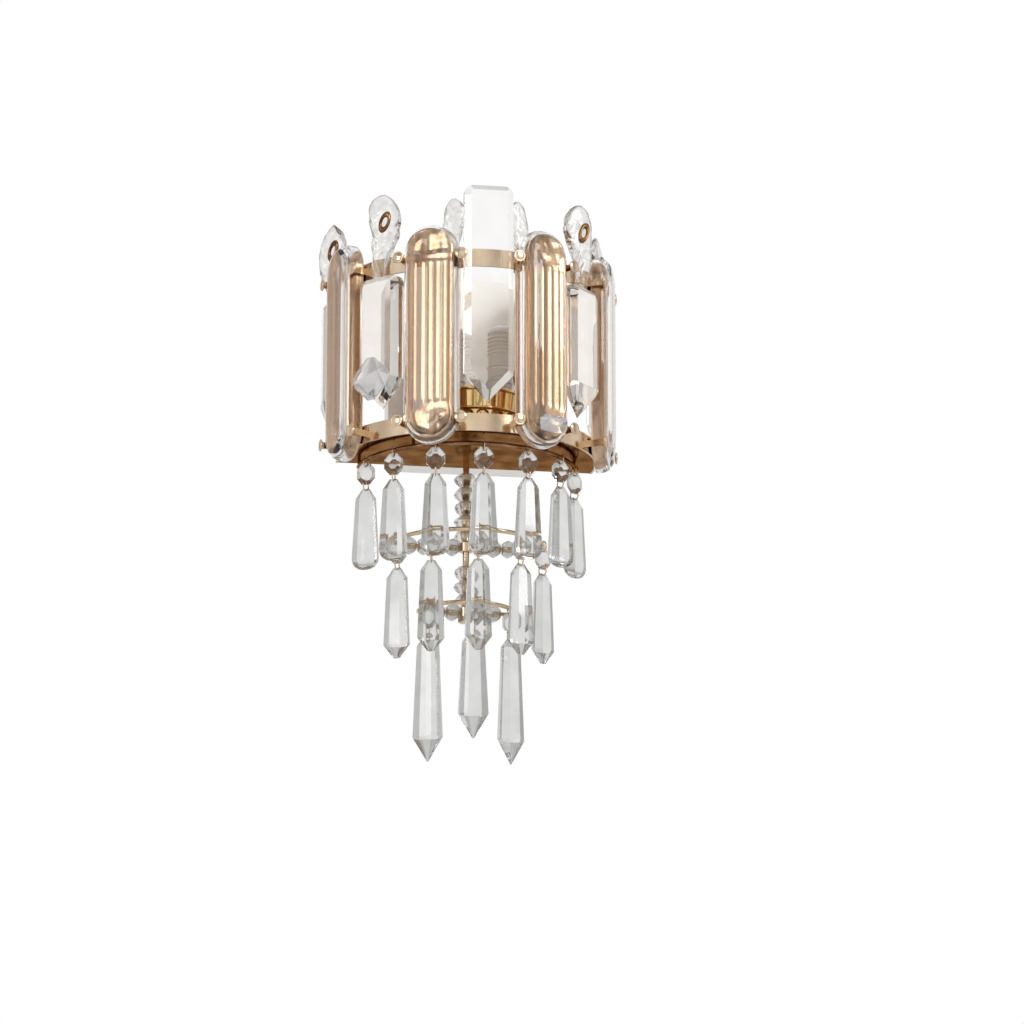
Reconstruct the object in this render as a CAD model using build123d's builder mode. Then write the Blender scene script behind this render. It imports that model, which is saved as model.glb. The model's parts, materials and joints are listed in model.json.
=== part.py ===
from build123d import *

import os
from itertools import product
from math import atan2, cos, degrees, radians, sin

# Crystal wall sconce: a half-round drum of glass panels on a gilt frame, two lamps inside it,
# and three tiers of faceted spears that hang below. The wall is the plane Y = 0, the front
# faces -Y, +Z is up, and the origin is midway between the two fixing slots, on the wall.

# drum layout
arc_setback = 34  # from the wall to the centre of the drum's arc
band_radius = 118  # outside of the gilt bands
band_thickness = 2
band_height = 16
upper_band_z = 70  # middle of the upper band
lower_band_z = -80
band_back_y = -22  # where the open ends of the bands stop
panel_pitch = 23.5  # degrees between neighbouring panels
tinted_steps = (-3, -1, 1, 3)  # places of the tinted panels, in pitches from the front
clear_steps = (-4, -2, 0, 2, 4)
seat_gap = 0.3  # between a piece and its seat

# tinted panels: a clear cover over a fluted tinted core
cover_width = 50
cover_height = 200
cover_depth = 18
cover_wall = 3
cover_front = 4
cover_rounding = 9
core_rounding = 4
flute_radius = 2.6
flute_pitch = 5.7
flute_length = 128
flute_count = 7

# clear panels between them
clear_width = 44
clear_depth = 13
clear_bottom_z = -62
clear_top_z = 136
clear_point = 24  # height of the pointed foot
clear_corner = 8
clear_bevel = 3
shoulder_z = 58  # where the body of a side panel ends
head_width = 34
head_height = 74

# crown leaves and faceted blocks
leaf_width = 17
leaf_height = 66
leaf_depth = 8
leaf_angle = 11.75
big_block = 38  # corner to corner
big_block_step = -2
small_block = 28
small_block_step = 1
block_rise = 14
block_seat_share = 0.7  # width on the panel over the greatest width
block_table_share = 0.45  # width of the front facet over the greatest width

# cut beads threaded on the stem and on the cross rods of the hoops
thread_bead_length = 12
thread_bead_pitch = 13
thread_bead_end_share = 0.55  # width at the ends over the greatest width
stem_bead_radius = 11
rod_bead_radius = 8
rod_bead_counts = {"middle": 4, "lower": 2}  # on each side of the stem

# clips that grip the panels at the bands
clip_stem = 1.2
clip_stem_height = 6
clip_button_radius = 5.5
clip_button = 2.5
clip_length = 17  # from the band to the back of the button

# wall canopy, bracket and terminal block
canopy_width = 140
canopy_height = 176
canopy_depth = 24
canopy_wall = 1.5
canopy_corner = 10
bar_length = 110
bar_height = 20
bar_thickness = 2
slot_spacing = 70
slot_length = 12
slot_width = 5
cable_hole_radius = 6
stud_spacing = 96  # between the two canopy studs
stud_radius = 2
stud_length = 28
nut_radius = 6
nut_length = 9
block_width = 66
block_height = 16
block_depth = 14
block_z = -40
block_screw_radius = 2

# arms and tray
arm_x = 55
arm_width = 10
arm_height = 8
tray_thickness = 2
tray_drop = 6  # from the underside of the tray to the axis of the first hoop
post_radius = 1.5
post_angles = (-88, -37.5, 37.5, 88)

# two lamps in one cup
lamp_reach = 52  # from the centre of the arc to the lamps' axes
lamp_spacing = 44
cup_foot_radius = 41
cup_rim_radius = 45
cup_height = 46
cup_waist_height = 26
cup_waist_radius = 42
cup_wall = 1.6
cup_floor = 3
holder_radius = 13
holder_height = 70
holder_bore = 8
holder_bore_depth = 30
cap_radius = 7
cap_length = 26
neck_radius = 12
neck_height = 31
neck_ribs = 5
neck_rib_pitch = 3.6
neck_rib_depth = 1
neck_rib_width = 1.8
neck_plain = 12  # plain stretch under the ribs
dome_rise = 9
dome_shoulder_radius = 8.5
dome_shoulder = 6.2
dome_tip_radius = 1
wire_radius = 1.6
wire_y = -15
wire_z = -68
wire_bend = 8
wire_hole_radius = 2.4

# hoops, their stem and the hanging pieces
stem_radius = 3
stem_clearance = 0.1
hoop_rod_radius = 2
boss_radius = 6
boss_height = 8
stem_nut_radius = 7
stem_nut_height = 5
ring_radius = 5
ring_wire = 0.6
bead_width = 16
bead_table = 8
bead_edge = 2
bead_depth = 6.8
bead_turn = 22.5  # degrees, so that a flat side is at the top
hole_inset = 2  # from the tip of a crystal to the centre of its hole
hole_radius = 1.4
spear_width = 27
spear_top_width = 7
spear_shoulder_width = 20
spear_shoulder = 9
spear_point = 22
spear_tip_width = 1.2
spear_thickness_share = 0.5  # thickness over width, all the way down
spear_table_share = 0.42  # width of the broad facet over the whole width
spear_edge_share = 0.3  # height of the edge facet over the thickness
facing_share = 0.45  # how far a drop turns with the hoop; at 0 it would face straight ahead
upper_angles = (-75, -50, -25, 0, 25, 50, 75)
middle_angles = (-70, -35, 0, 35, 70)
tiers = {  # name: hoop radius, hoop height (under the tray if None), spear length at each angle
    "upper": (98, None, dict.fromkeys(upper_angles, 74)),
    "middle": (70, -165, dict.fromkeys(middle_angles, 82)),
    "lower": (43, -225, {-60: 114, 0: 96, 60: 114}),
}

panel_seat = band_radius + seat_gap
band_inside = band_radius - band_thickness
lower_band_bottom = lower_band_z - band_height / 2
tray_top = lower_band_bottom + tray_thickness
upper_hoop_z = lower_band_bottom - tray_drop
canopy_front_y = -canopy_depth
lamp_y = -arc_setback - lamp_reach
lamp_places = [(side * lamp_spacing / 2, lamp_y) for side in (-1, 1)]
holder_bottom = tray_top + cup_floor
holder_top = holder_bottom + holder_height
clip_reach = band_radius + clip_length
clip_angle = degrees(atan2(cover_width / 2 + seat_gap + clip_stem / 2, panel_seat))


def arc_point(angle, radius, height=0):
    """A point on an arc about the drum's axis, its angle counted from the front to the right."""
    return (radius * sin(radians(angle)), -arc_setback - radius * cos(radians(angle)), height)


def facing_plane(angle, radius, height=0):
    """A plane that faces out of the drum: X along the drum, Y up."""
    along = (cos(radians(angle)), sin(radians(angle)), 0)
    outwards = (sin(radians(angle)), -cos(radians(angle)), 0)
    return Plane(origin=arc_point(angle, radius, height), x_dir=along, z_dir=outwards)


def cross_plane(radius, height):
    """The upright plane square to the left end of a hoop: X outwards, Y up."""
    return Plane(origin=arc_point(-90, radius, height), x_dir=(-1, 0, 0), z_dir=(0, 1, 0))


def front_face(part, plane):
    """The face of a part that lies furthest along a plane's normal."""
    return part.faces().sort_by(Axis(plane.origin, plane.z_dir))[-1]


def save(name, part):
    part.label = name
    export_step(part, f"parts/{name}.step")


def build_band(name, middle_z):
    with BuildPart() as band:
        with BuildSketch(Plane.XY.offset(middle_z - band_height / 2)):
            with Locations((0, -arc_setback)):
                Circle(band_radius)
                Circle(band_inside, mode=Mode.SUBTRACT)
            with Locations((0, band_back_y + band_radius)):
                Rectangle(4 * band_radius, 2 * band_radius, mode=Mode.SUBTRACT)
        extrude(amount=band_height)
    save(name, band.part)


def build_cover(name, angle):
    plane = facing_plane(angle, panel_seat)
    with BuildPart() as cover:
        with BuildSketch(plane):
            SlotOverall(cover_height, cover_width, rotation=90)
        extrude(amount=cover_depth)
        fillet(front_face(cover, plane).edges(), cover_rounding)
        with BuildSketch(plane):
            SlotOverall(cover_height - 2 * cover_wall, cover_width - 2 * cover_wall, rotation=90)
        extrude(amount=cover_depth - cover_front, mode=Mode.SUBTRACT)
    save(name, cover.part)


def build_core(name, angle):
    plane = facing_plane(angle, panel_seat)
    inset = 2 * (cover_wall + seat_gap)
    core_depth = cover_depth - cover_front - seat_gap
    with BuildPart() as core:
        with BuildSketch(plane):
            SlotOverall(cover_height - inset, cover_width - inset, rotation=90)
        extrude(amount=core_depth)
        fillet(front_face(core, plane).edges(), core_rounding)
        with BuildSketch(plane.offset(core_depth)):
            with GridLocations(flute_pitch, 0, flute_count, 1):
                SlotOverall(flute_length, 2 * flute_radius, rotation=90)
        extrude(amount=-flute_radius / 2, mode=Mode.SUBTRACT)
    save(name, core.part)


def build_clear_panel(name, angle, with_head):
    plane = facing_plane(angle, panel_seat)
    half = clear_width / 2
    body_top = shoulder_z if with_head else clear_top_z
    foot = [(-half, clear_bottom_z + clear_point), (0, clear_bottom_z), (half, clear_bottom_z + clear_point)]
    with BuildPart() as panel:
        with BuildSketch(plane) as outline:
            Polygon((-half, body_top), *foot, (half, body_top), align=None)
            fillet(outline.vertices().group_by(Axis.Y)[-1], clear_corner)
        extrude(amount=clear_depth)
        chamfer(front_face(panel, plane).edges(), clear_bevel)
        if with_head:
            with BuildSketch(plane):
                with Locations((0, clear_top_z - head_height / 2)):
                    Ellipse(head_width / 2, head_height / 2)
                with Locations((0, shoulder_z)):
                    Rectangle(head_width / 2, 2 * clear_corner)
            extrude(amount=clear_depth - clear_bevel)
    save(name, panel.part)


def build_leaf(side):
    """A clear leaf that stands on the inside of the upper band, beside the middle panel."""
    with BuildPart() as leaf:
        with BuildSketch(facing_plane(side * leaf_angle, band_inside - seat_gap - leaf_depth)):
            with Locations((0, upper_band_z - band_height / 2 + leaf_height / 2)):
                Ellipse(leaf_width / 2, leaf_height / 2)
        extrude(amount=leaf_depth)
    return leaf.part.solid()


def build_block(angle, seat, height, size):
    """A faceted block on the front of a panel: square, corner up, widest at half its depth."""
    base = facing_plane(angle, seat + seat_gap, height)
    with BuildPart() as block:
        for end, share in ((0, block_seat_share), (block_rise, block_table_share)):
            with BuildSketch(base.offset(block_rise / 2)):
                RegularPolygon(size / 2, 4)
            with BuildSketch(base.offset(end)):
                RegularPolygon(share * size / 2, 4)
            loft(ruled=True)
    return block.part.solid()


def build_thread_bead(middle, radius, bore):
    """An eight-sided bead, widest at its middle, bored for the rod along its plane's normal."""
    with BuildPart() as bead:
        for end in (-thread_bead_length / 2, thread_bead_length / 2):
            with BuildSketch(middle):
                RegularPolygon(radius, 8)
            with BuildSketch(middle.offset(end)):
                RegularPolygon(thread_bead_end_share * radius, 8)
            loft(ruled=True)
        with BuildSketch(middle):
            Circle(bore + stem_clearance)
        extrude(amount=thread_bead_length, both=True, mode=Mode.SUBTRACT)
    return bead.part.solid()


def build_thread_beads():
    """The beads on the cross rods, and those that stand in a column on each boss of the stem."""
    beads = []
    ceilings = {"middle": lower_band_bottom, "lower": tiers["middle"][1] - boss_height / 2}
    for tier, count in rod_bead_counts.items():
        hoop_z = tiers[tier][1]
        for side, number in product((-1, 1), range(count)):
            x = side * (boss_radius + seat_gap + thread_bead_length / 2 + number * thread_bead_pitch)
            middle = Plane(origin=(x, -arc_setback, hoop_z), x_dir=(0, 1, 0), z_dir=(1, 0, 0))
            beads.append(build_thread_bead(middle, rod_bead_radius, hoop_rod_radius))
        seat_z = hoop_z + boss_height / 2 + seat_gap
        room = ceilings[tier] - seat_z
        for number in range(int(room // thread_bead_pitch)):
            z = seat_z + thread_bead_length / 2 + number * thread_bead_pitch
            middle = Plane(origin=(0, -arc_setback, z), x_dir=(1, 0, 0), z_dir=(0, 0, 1))
            beads.append(build_thread_bead(middle, stem_bead_radius, stem_radius))
    return beads


def build_accent_crystals():
    cover_foot_z = (big_block - cover_height) / 2
    accents = [
        *build_thread_beads(),
        build_leaf(-1),
        build_leaf(1),
        build_block(
            big_block_step * panel_pitch,
            panel_seat + clear_depth,
            clear_bottom_z + clear_point,
            big_block,
        ),
        build_block(small_block_step * panel_pitch, panel_seat + cover_depth, cover_foot_z, small_block),
    ]
    save("accent_crystals", Compound(children=accents))


def build_clips():
    with BuildPart() as clips:
        for height in (upper_band_z, lower_band_z):
            for step, side in product(tinted_steps, (-1, 1)):
                angle = step * panel_pitch + side * clip_angle
                with BuildSketch(facing_plane(angle, band_radius, height)):
                    Rectangle(clip_stem, clip_stem_height)
                extrude(amount=clip_reach - band_radius)
                with BuildSketch(facing_plane(angle, clip_reach, height)):
                    Circle(clip_button_radius)
                extrude(amount=clip_button)
    save("panel_clips", clips.part)


def build_canopy():
    front = Plane(origin=(0, canopy_front_y, 0), x_dir=(1, 0, 0), z_dir=(0, -1, 0))
    with BuildPart() as canopy:
        with BuildSketch(front):
            RectangleRounded(canopy_width, canopy_height, canopy_corner)
        extrude(amount=-canopy_depth)
        with BuildSketch(front.offset(-canopy_wall)):
            inner_width = canopy_width - 2 * canopy_wall
            RectangleRounded(inner_width, canopy_height - 2 * canopy_wall, canopy_corner - canopy_wall)
        extrude(amount=-canopy_depth, mode=Mode.SUBTRACT)
        with BuildSketch(front):
            with GridLocations(stud_spacing, 0, 2, 1):
                Circle(stud_radius + seat_gap)
            with Locations((0, wire_z)):
                with GridLocations(lamp_spacing, 0, 2, 1):
                    Circle(wire_hole_radius)
        extrude(amount=-canopy_wall, mode=Mode.SUBTRACT)
    save("wall_canopy", canopy.part)


def build_mounting_bar():
    back = Plane(origin=(0, 0, 0), x_dir=(1, 0, 0), z_dir=(0, -1, 0))
    with BuildPart() as bar:
        with BuildSketch(back):
            RectangleRounded(bar_length, bar_height, bar_height / 5)
            with GridLocations(slot_spacing, 0, 2, 1):
                SlotOverall(slot_length, slot_width, mode=Mode.SUBTRACT)
            Circle(cable_hole_radius, mode=Mode.SUBTRACT)
        extrude(amount=bar_thickness)
    save("mounting_bar", bar.part)


def build_canopy_studs():
    fixings = []
    for side in (-1, 1):
        x = side * stud_spacing / 2
        with BuildPart() as stud:
            with BuildSketch(Plane(origin=(x, -bar_thickness, 0), x_dir=(1, 0, 0), z_dir=(0, -1, 0))):
                Circle(stud_radius)
            extrude(amount=stud_length)
        seat = Plane(origin=(x, canopy_front_y, 0), x_dir=(1, 0, 0), z_dir=(0, -1, 0))
        with BuildPart() as nut:
            with BuildSketch(seat):
                Circle(nut_radius)
            extrude(amount=nut_length)
            fillet(front_face(nut, seat).edges(), nut_radius / 2)
            with BuildSketch(seat):
                Circle(stud_radius + stem_clearance)
            extrude(amount=nut_length - bar_thickness, mode=Mode.SUBTRACT)
        fixings += [stud.part.solid(), nut.part.solid()]
    save("canopy_studs", Compound(children=fixings))


def build_terminal_block():
    back = Plane(origin=(0, canopy_front_y + canopy_wall, block_z), x_dir=(1, 0, 0), z_dir=(0, 1, 0))
    with BuildPart() as block:
        with BuildSketch(back):
            Rectangle(block_width, block_height)
        extrude(amount=block_depth)
        with BuildSketch(back.offset(block_depth)):
            with GridLocations(block_width / 3, 0, 3, 1):
                Circle(block_screw_radius)
        extrude(amount=-block_depth / 2, mode=Mode.SUBTRACT)
    save("terminal_block", block.part)


def build_arms():
    with BuildPart() as arms:
        for middle_z in (upper_band_z, tray_top + arm_height / 2):
            with BuildSketch(Plane.XY.offset(middle_z - arm_height / 2)):
                for side in (-1, 1):
                    with Locations((side * arm_x, (canopy_front_y - 2 * band_radius) / 2)):
                        Rectangle(arm_width, 2 * band_radius + canopy_front_y)
                with Locations((0, -arc_setback)):
                    Circle(band_inside - seat_gap, mode=Mode.INTERSECT)
            extrude(amount=arm_height)
    save("frame_arms", arms.part)


def build_tray():
    with BuildPart() as tray:
        with BuildSketch(Plane.XY.offset(lower_band_bottom)):
            with Locations((0, -arc_setback)):
                Circle(band_inside - seat_gap)
                Circle(stem_radius + stem_clearance, mode=Mode.SUBTRACT)
            with Locations((0, canopy_front_y - seat_gap + band_radius)):
                Rectangle(4 * band_radius, 2 * band_radius, mode=Mode.SUBTRACT)
        extrude(amount=tray_thickness)
        hoop_radius = tiers["upper"][0]
        with BuildSketch(cross_plane(hoop_radius, upper_hoop_z)):
            Circle(hoop_rod_radius)
        revolve(axis=Axis((0, -arc_setback, 0), (0, 0, 1)), revolution_arc=180)
        with BuildSketch(Plane.XY.offset(lower_band_bottom)):
            for angle in post_angles:
                x, y, _ = arc_point(angle, hoop_radius)
                with Locations((x, y)):
                    Circle(post_radius)
        extrude(amount=-tray_drop)
    save("base_tray", tray.part)


def build_hoop(name, hoop_radius, hoop_z):
    """A half hoop of round rod, closed by a cross rod with a boss for the stem."""
    with BuildPart() as hoop:
        with BuildSketch(cross_plane(hoop_radius, hoop_z)):
            Circle(hoop_rod_radius)
        revolve(axis=Axis((0, -arc_setback, 0), (0, 0, 1)), revolution_arc=180)
        with BuildSketch(Plane(origin=(-hoop_radius, -arc_setback, hoop_z), x_dir=(0, 1, 0), z_dir=(1, 0, 0))):
            Circle(hoop_rod_radius)
        extrude(amount=2 * hoop_radius)
        with BuildSketch(Plane.XY.offset(hoop_z - boss_height / 2)):
            with Locations((0, -arc_setback)):
                Circle(boss_radius)
        extrude(amount=boss_height)
        with BuildSketch(Plane.XY.offset(hoop_z - boss_height / 2)):
            with Locations((0, -arc_setback)):
                Circle(stem_radius + stem_clearance)
        extrude(amount=boss_height, mode=Mode.SUBTRACT)
    save(name, hoop.part)


def build_stem():
    stem_bottom = tiers["lower"][1] - boss_height / 2 - stem_nut_height
    stem_top = tray_top + stem_nut_height
    with BuildPart() as stem:
        with BuildSketch(Plane.XY.offset(stem_bottom)):
            with Locations((0, -arc_setback)):
                Circle(stem_radius)
        extrude(amount=stem_top - stem_bottom)
        for nut_bottom in (stem_bottom, tray_top):
            with BuildSketch(Plane.XY.offset(nut_bottom)):
                with Locations((0, -arc_setback)):
                    RegularPolygon(stem_nut_radius, 6)
            extrude(amount=stem_nut_height)
    save("centre_stem", stem.part)


def build_lamp_cup():
    with BuildPart() as cup:
        with BuildSketch(Plane(origin=(0, lamp_y, tray_top), x_dir=(1, 0, 0), z_dir=(0, -1, 0))):
            with BuildLine():
                outer = ThreePointArc(
                    (cup_foot_radius, 0),
                    (cup_waist_radius, cup_waist_height),
                    (cup_rim_radius, cup_height),
                )
                Line(outer @ 1, (cup_rim_radius - cup_wall, cup_height))
                inner = ThreePointArc(
                    (cup_rim_radius - cup_wall, cup_height),
                    (cup_waist_radius - cup_wall, cup_waist_height),
                    (cup_foot_radius - cup_wall, cup_floor),
                )
                Polyline(inner @ 1, (0, cup_floor), (0, 0), (cup_foot_radius, 0))
            make_face()
        revolve(axis=Axis((0, lamp_y, 0), (0, 0, 1)))
        with BuildSketch(Plane(origin=(0, lamp_y, wire_z), x_dir=(1, 0, 0), z_dir=(0, 1, 0))):
            with GridLocations(lamp_spacing, 0, 2, 1):
                Circle(wire_hole_radius)
        extrude(amount=cup_rim_radius, mode=Mode.SUBTRACT)
    save("lamp_cup", cup.part)


def build_lamp_holders():
    with BuildPart() as holders:
        with BuildSketch(Plane.XY.offset(holder_bottom)):
            with Locations(*lamp_places):
                Circle(holder_radius)
        extrude(amount=holder_height)
        with BuildSketch(Plane.XY.offset(holder_top)):
            with Locations(*lamp_places):
                Circle(holder_bore)
        extrude(amount=-holder_bore_depth, mode=Mode.SUBTRACT)
    save("lamp_holders", holders.part)


def build_bulbs():
    """Two lamps with a cap, a ribbed neck and a domed glass."""
    neck_bottom = holder_top + seat_gap
    neck_top = neck_bottom + neck_height
    pieces = []
    for x, y in lamp_places:
        with BuildPart() as base:
            with BuildSketch(Plane.XY.offset(neck_bottom)):
                with Locations((x, y)):
                    Circle(neck_radius - neck_rib_depth)
            extrude(amount=neck_height)
            for rib in range(neck_ribs):
                with BuildSketch(Plane.XY.offset(neck_bottom + neck_plain + rib * neck_rib_pitch)):
                    with Locations((x, y)):
                        Circle(neck_radius)
                extrude(amount=neck_rib_width)
            with BuildSketch(Plane.XY.offset(neck_bottom)):
                with Locations((x, y)):
                    Circle(cap_radius)
            extrude(amount=-cap_length)
        with BuildPart() as dome:
            with BuildSketch(Plane(origin=(x, y, neck_top), x_dir=(1, 0, 0), z_dir=(0, -1, 0))):
                with BuildLine():
                    crown = ThreePointArc(
                        (neck_radius, 0), (dome_shoulder_radius, dome_shoulder), (dome_tip_radius, dome_rise)
                    )
                    Polyline(crown @ 1, (0, dome_rise), (0, 0), (neck_radius, 0))
                make_face()
            revolve(axis=Axis((x, y, 0), (0, 0, 1)))
        pieces += [base.part.solid(), dome.part.solid()]
    save("bulbs", Compound(children=pieces))


def build_feed_wires():
    block_bottom = block_z - block_height / 2
    holder_back = lamp_y + holder_radius + seat_gap
    wires = []
    for x, _ in lamp_places:
        with BuildPart() as wire:
            with BuildLine() as route:
                FilletPolyline(
                    (x, wire_y, block_bottom),
                    (x, wire_y, wire_z),
                    (x, holder_back, wire_z),
                    radius=wire_bend,
                )
            with BuildSketch(Plane(origin=(x, wire_y, block_bottom), z_dir=(0, 0, -1))):
                Circle(wire_radius)
            sweep(path=route.wires()[0])
        wires.append(wire.part.solid())
    save("feed_wires", Compound(children=wires))


def spear_outline(width):
    """The flattened eight-sided section of a spear, its broad facet to the front."""
    half = width / 2
    deep = half * spear_thickness_share
    corner = [(half, spear_edge_share * deep), (spear_table_share * half, deep)]
    back = [(-x, y) for x, y in reversed(corner)]
    return [*corner, *back, *[(-x, -y) for x, y in corner], *[(x, -y) for x, y in reversed(corner)]]


def hanging_planes(angle, hoop_radius, height):
    """The level plane and the upright plane of a drop at one height, both with X across the drop."""
    centre = arc_point(angle, hoop_radius, height)
    facing = radians(facing_share * angle)
    across = (cos(facing), sin(facing), 0)
    level = Plane(origin=centre, x_dir=across, z_dir=(0, 0, 1))
    upright = Plane(origin=centre, x_dir=across, z_dir=(sin(facing), -cos(facing), 0))
    return level, upright


def build_spear(name, angle, hoop_radius, top_z, length):
    steps = [
        (0, spear_top_width),
        (spear_shoulder, spear_shoulder_width),
        (length - spear_point, spear_width),
        (length, spear_tip_width),
    ]
    with BuildPart() as spear:
        for start, end in zip(steps, steps[1:]):
            for drop, width in (start, end):
                level, _ = hanging_planes(angle, hoop_radius, top_z - drop)
                with BuildSketch(level):
                    Polygon(*spear_outline(width), align=None)
            loft(ruled=True)
        _, upright = hanging_planes(angle, hoop_radius, top_z - hole_inset)
        with BuildSketch(upright):
            Circle(hole_radius)
        extrude(amount=spear_width, both=True, mode=Mode.SUBTRACT)
    save(name, spear.part)


def build_ring(angle, hoop_radius, height):
    """A wire ring that stands on edge and shows its narrow side to the front."""
    level, _ = hanging_planes(angle, hoop_radius, height)
    with BuildPart() as ring:
        with BuildSketch(level):
            with Locations((0, ring_radius)):
                Circle(ring_wire)
        revolve(axis=Axis(level.origin, level.x_dir))
    return ring.part.solid()


def build_bead(name, angle, hoop_radius, top_z, ring_z):
    """An eight-sided bead with the ring it hangs by and the ring that holds the spear."""
    _, middle = hanging_planes(angle, hoop_radius, top_z - bead_width / 2)
    with BuildPart() as bead:
        for side in (-1, 1):
            with BuildSketch(middle.offset(side * bead_edge / 2)):
                RegularPolygon(bead_width / 2, 8, major_radius=False, rotation=bead_turn)
            with BuildSketch(middle.offset(side * bead_depth / 2)):
                RegularPolygon(bead_table / 2, 8, major_radius=False, rotation=bead_turn)
            loft(ruled=True)
        with BuildSketch(middle.offset(-bead_edge / 2)):
            RegularPolygon(bead_width / 2, 8, major_radius=False, rotation=bead_turn)
        extrude(amount=bead_edge)
        with BuildSketch(middle):
            with GridLocations(0, bead_width - 2 * hole_inset, 1, 2):
                Circle(hole_radius)
        extrude(amount=bead_depth, both=True, mode=Mode.SUBTRACT)
    lower_ring_z = top_z - bead_width + hole_inset - ring_radius
    rings = [build_ring(angle, hoop_radius, height) for height in (ring_z, lower_ring_z)]
    save(name, Compound(children=[bead.part.solid(), *rings]))


def build_tier(tier, hoop_radius, hoop_z, spears):
    ring_z = hoop_z - (ring_radius - ring_wire - hoop_rod_radius - seat_gap)
    bead_top = ring_z - ring_radius + hole_inset
    spear_top = bead_top - bead_width + 2 * hole_inset - 2 * ring_radius
    for number, (angle, length) in enumerate(spears.items(), 1):
        build_bead(f"{tier}_bead_{number}", angle, hoop_radius, bead_top, ring_z)
        build_spear(f"{tier}_spear_{number}", angle, hoop_radius, spear_top, length)


os.makedirs("parts", exist_ok=True)

build_canopy()
build_mounting_bar()
build_canopy_studs()
build_terminal_block()
build_band("upper_band", upper_band_z)
build_band("lower_band", lower_band_z)
build_arms()
build_tray()
build_stem()
build_lamp_cup()
build_lamp_holders()
build_bulbs()
build_feed_wires()
build_clips()
build_accent_crystals()

for number, step in enumerate(tinted_steps, 1):
    build_cover(f"glass_cover_{number}", step * panel_pitch)
    build_core(f"tinted_core_{number}", step * panel_pitch)

for number, step in enumerate(clear_steps, 1):
    build_clear_panel(f"clear_panel_{number}", step * panel_pitch, with_head=step != 0)

for tier, (hoop_radius, hoop_z, spears) in tiers.items():
    if hoop_z is None:
        build_tier(tier, hoop_radius, upper_hoop_z, spears)
    else:
        build_hoop(f"{tier}_hoop", hoop_radius, hoop_z)
        build_tier(tier, hoop_radius, hoop_z, spears)
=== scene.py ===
import json
import math

import bmesh
import bpy
from mathutils import Matrix, Vector, noise


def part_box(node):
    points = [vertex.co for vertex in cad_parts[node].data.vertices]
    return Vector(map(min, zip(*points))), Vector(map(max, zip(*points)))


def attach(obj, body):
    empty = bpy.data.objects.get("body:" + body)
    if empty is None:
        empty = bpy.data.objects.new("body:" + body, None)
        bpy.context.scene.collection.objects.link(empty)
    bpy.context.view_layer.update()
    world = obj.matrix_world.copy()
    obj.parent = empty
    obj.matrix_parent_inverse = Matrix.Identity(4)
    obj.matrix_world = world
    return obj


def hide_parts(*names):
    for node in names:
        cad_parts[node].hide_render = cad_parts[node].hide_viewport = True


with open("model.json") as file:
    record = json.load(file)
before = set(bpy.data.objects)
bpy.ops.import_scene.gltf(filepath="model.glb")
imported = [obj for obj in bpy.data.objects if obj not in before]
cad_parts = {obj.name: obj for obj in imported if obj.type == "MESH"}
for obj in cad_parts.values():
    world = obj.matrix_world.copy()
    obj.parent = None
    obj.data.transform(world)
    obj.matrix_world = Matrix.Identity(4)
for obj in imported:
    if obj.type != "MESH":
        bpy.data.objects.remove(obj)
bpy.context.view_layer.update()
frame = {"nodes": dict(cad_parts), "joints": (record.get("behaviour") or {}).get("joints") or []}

# ---- Camera ----
# The photograph looks up at the sconce from a few metres away, a little left of its middle.
# A long lens keeps the panels upright.
mm = 0.001
aim = Vector((30.8, -100, -147)) * mm
camera_turn = math.radians(9.68)
camera_rise = math.radians(14.45)
camera_distance = 3.988
photo_width = 1024
focal_pixels = 4494

sight = Vector(
    (
        math.sin(camera_turn) * math.cos(camera_rise),
        math.cos(camera_turn) * math.cos(camera_rise),
        math.sin(camera_rise),
    )
)
camera_data = bpy.data.cameras.new("camera")
camera_data.sensor_width = 36
camera_data.lens = focal_pixels * camera_data.sensor_width / photo_width
camera_data.clip_end = 60
camera = bpy.data.objects.new("camera", camera_data)
camera.location = aim - sight * camera_distance
camera.rotation_mode = "QUATERNION"
camera.rotation_quaternion = sight.to_track_quat("-Z", "Y")
bpy.context.scene.collection.objects.link(camera)
bpy.context.scene.camera = camera

# ---- Studio ----
# A white studio: white wherever the camera looks past the sconce, and round it tall soft
# boxes with grey gaps between them, which draw the edges of the glass and stripe the gilt.
scene = bpy.context.scene
scene.view_settings.view_transform = "Standard"
scene.cycles.max_bounces = 28
scene.cycles.transmission_bounces = 24
scene.cycles.glossy_bounces = 10

world = bpy.data.worlds.new("studio")
scene.world = world
world.use_nodes = True
nodes, links = world.node_tree.nodes, world.node_tree.links
nodes.clear()
heading = nodes.new("ShaderNodeTexCoord")
turn = nodes.new("ShaderNodeTexGradient")
turn.gradient_type = "RADIAL"
links.new(heading.outputs["Generated"], turn.inputs["Vector"])


def set_ramp(ramp, stops):
    """Gives a colour ramp its stops, each a place and a grey or a colour."""
    while len(ramp.elements) < len(stops):
        ramp.elements.new(0.5)
    for element, (place, shade) in zip(ramp.elements, stops):
        element.position = place
        element.color = (*shade, 1) if isinstance(shade, tuple) else (shade, shade, shade, 1)


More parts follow.
